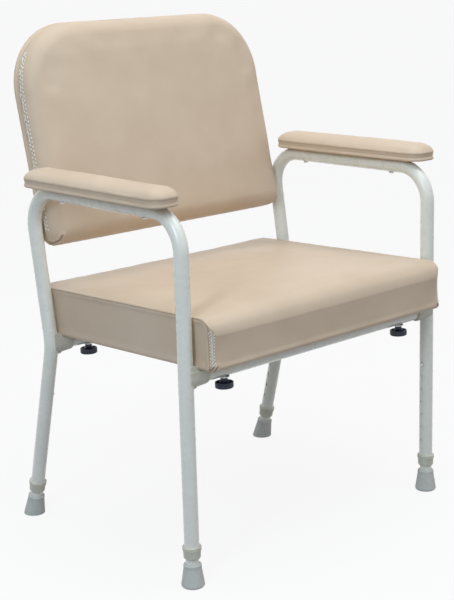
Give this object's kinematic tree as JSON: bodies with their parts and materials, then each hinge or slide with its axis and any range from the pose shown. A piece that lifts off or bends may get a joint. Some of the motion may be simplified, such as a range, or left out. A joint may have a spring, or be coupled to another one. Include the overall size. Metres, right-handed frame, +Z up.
{
  "type": "day chair",
  "caption": "Hospital day chair with bent tube side frames, padded seat, backrest and arm pads, height-adjustable legs and a knob-fastened lift-off seat.",
  "frame": {"origin": "on the floor, at the middle of the whole chair's outline", "axes": "+Z up, +Y to the rear, +X to the right as seen from the front; the sitter faces -Y"},
  "size_m": [0.688, 0.538, 0.9105],
  "materials": {
    "tube_paint": "semi-gloss powder coat, pale grey-green",
    "vinyl": "satin beige vinyl over foam",
    "ivory_plastic": "matte off-white plastic",
    "grey_rubber": "matte grey rubber",
    "blue_plastic": "dark blue moulded plastic",
    "plywood": "bare plywood",
    "zinc_steel": "zinc-plated steel"
  },
  "bodies": {
    "frame": {"left_side_frame": "tube_paint", "left_arm_pad": "vinyl", "left_arm_board": "plywood", "right_side_frame": "tube_paint", "right_arm_pad": "vinyl", "right_arm_board": "plywood", "front_left_collar": "ivory_plastic", "front_left_saddle": "ivory_plastic", "front_right_collar": "ivory_plastic", "front_right_saddle": "ivory_plastic", "rear_left_collar": "ivory_plastic", "rear_left_saddle": "ivory_plastic", "rear_right_collar": "ivory_plastic", "rear_right_saddle": "ivory_plastic", "front_rail": "tube_paint", "rear_rail": "tube_paint", "rail_screws": "zinc_steel", "seat_cushion": "vinyl", "seat_board": "plywood", "seat_tee_nuts": "zinc_steel", "backrest_cushion": "vinyl", "backrest_board": "plywood", "backrest_tee_nuts": "zinc_steel", "back_strap": "tube_paint", "backrest_screws": "zinc_steel", "strap_screws": "zinc_steel", "arm_screws": "zinc_steel", "arm_tee_nuts": "zinc_steel"},
    "front_left_leg": {"front_left_inner_leg": "tube_paint", "front_left_foot": "grey_rubber", "front_left_button_spring": "zinc_steel"},
    "front_left_button": {"front_left_snap_button": "zinc_steel"},
    "front_left_washer": {"front_left_knob_washer": "zinc_steel"},
    "front_left_knob": {"front_left_knob": "blue_plastic", "front_left_knob_stud": "zinc_steel"},
    "front_right_leg": {"front_right_inner_leg": "tube_paint", "front_right_foot": "grey_rubber", "front_right_button_spring": "zinc_steel"},
    "front_right_button": {"front_right_snap_button": "zinc_steel"},
    "front_right_washer": {"front_right_knob_washer": "zinc_steel"},
    "front_right_knob": {"front_right_knob": "blue_plastic", "front_right_knob_stud": "zinc_steel"},
    "rear_left_leg": {"rear_left_inner_leg": "tube_paint", "rear_left_foot": "grey_rubber", "rear_left_button_spring": "zinc_steel"},
    "rear_left_button": {"rear_left_snap_button": "zinc_steel"},
    "rear_left_washer": {"rear_left_knob_washer": "zinc_steel"},
    "rear_left_knob": {"rear_left_knob": "blue_plastic", "rear_left_knob_stud": "zinc_steel"},
    "rear_right_leg": {"rear_right_inner_leg": "tube_paint", "rear_right_foot": "grey_rubber", "rear_right_button_spring": "zinc_steel"},
    "rear_right_button": {"rear_right_snap_button": "zinc_steel"},
    "rear_right_washer": {"rear_right_knob_washer": "zinc_steel"},
    "rear_right_knob": {"rear_right_knob": "blue_plastic", "rear_right_knob_stud": "zinc_steel"}
  },
  "joints": [
    {"name": "front_left_leg_slide", "type": "slide", "parent": "frame", "child": "front_left_leg", "axis": [0, 0, -1], "range_m": [0, 0.1524]},
    {"name": "front_left_button_press", "type": "slide", "parent": "front_left_leg", "child": "front_left_button", "axis": [-1, 0, 0], "range_m": [0, 0.0047], "stiffness_N_per_m": 1500, "deforming": ["front_left_button_spring"]},
    {"name": "front_left_knob_lift", "type": "slide", "parent": "frame", "child": "front_left_washer", "axis": [0, -0.0332, -0.9995], "range_m": [0, 0.012]},
    {"name": "front_left_knob_turn", "type": "hinge", "parent": "front_left_washer", "child": "front_left_knob", "pos_m": [-0.218, -0.22053, 0.3597], "axis": [0, -0.0332, -0.9995], "range_deg": [0, 3456]},
    {"name": "front_right_leg_slide", "type": "slide", "parent": "frame", "child": "front_right_leg", "axis": [0, 0, -1], "range_m": [0, 0.1524]},
    {"name": "front_right_button_press", "type": "slide", "parent": "front_right_leg", "child": "front_right_button", "axis": [1, 0, 0], "range_m": [0, 0.0047], "stiffness_N_per_m": 1500, "deforming": ["front_right_button_spring"]},
    {"name": "front_right_knob_lift", "type": "slide", "parent": "frame", "child": "front_right_washer", "axis": [0, -0.0332, -0.9995], "range_m": [0, 0.012]},
    {"name": "front_right_knob_turn", "type": "hinge", "parent": "front_right_washer", "child": "front_right_knob", "pos_m": [0.218, -0.22053, 0.3597], "axis": [0, -0.0332, -0.9995], "range_deg": [0, 3456]},
    {"name": "rear_left_leg_slide", "type": "slide", "parent": "frame", "child": "rear_left_leg", "axis": [0, 0.2504, -0.9681], "range_m": [0, 0.1524]},
    {"name": "rear_left_button_press", "type": "slide", "parent": "rear_left_leg", "child": "rear_left_button", "axis": [-1, 0, 0], "range_m": [0, 0.0047], "stiffness_N_per_m": 1500, "deforming": ["rear_left_button_spring"]},
    {"name": "rear_left_knob_lift", "type": "slide", "parent": "frame", "child": "rear_left_washer", "axis": [0, -0.0332, -0.9995], "range_m": [0, 0.012]},
    {"name": "rear_left_knob_turn", "type": "hinge", "parent": "rear_left_washer", "child": "rear_left_knob", "pos_m": [-0.218, 0.15032, 0.3474], "axis": [0, -0.0332, -0.9995], "range_deg": [0, 3456]},
    {"name": "rear_right_leg_slide", "type": "slide", "parent": "frame", "child": "rear_right_leg", "axis": [0, 0.2504, -0.9681], "range_m": [0, 0.1524]},
    {"name": "rear_right_button_press", "type": "slide", "parent": "rear_right_leg", "child": "rear_right_button", "axis": [1, 0, 0], "range_m": [0, 0.0047], "stiffness_N_per_m": 1500, "deforming": ["rear_right_button_spring"]},
    {"name": "rear_right_knob_lift", "type": "slide", "parent": "frame", "child": "rear_right_washer", "axis": [0, -0.0332, -0.9995], "range_m": [0, 0.012]},
    {"name": "rear_right_knob_turn", "type": "hinge", "parent": "rear_right_washer", "child": "rear_right_knob", "pos_m": [0.218, 0.15032, 0.3474], "axis": [0, -0.0332, -0.9995], "range_deg": [0, 3456]}
  ],
  "couplings": [
    {"joint": "front_left_knob_turn", "follows": "front_left_knob_lift", "rad_per_m": 5026.5},
    {"joint": "front_right_knob_turn", "follows": "front_right_knob_lift", "rad_per_m": 5026.5},
    {"joint": "rear_left_knob_turn", "follows": "rear_left_knob_lift", "rad_per_m": 5026.5},
    {"joint": "rear_right_knob_turn", "follows": "rear_right_knob_lift", "rad_per_m": 5026.5}
  ]
}
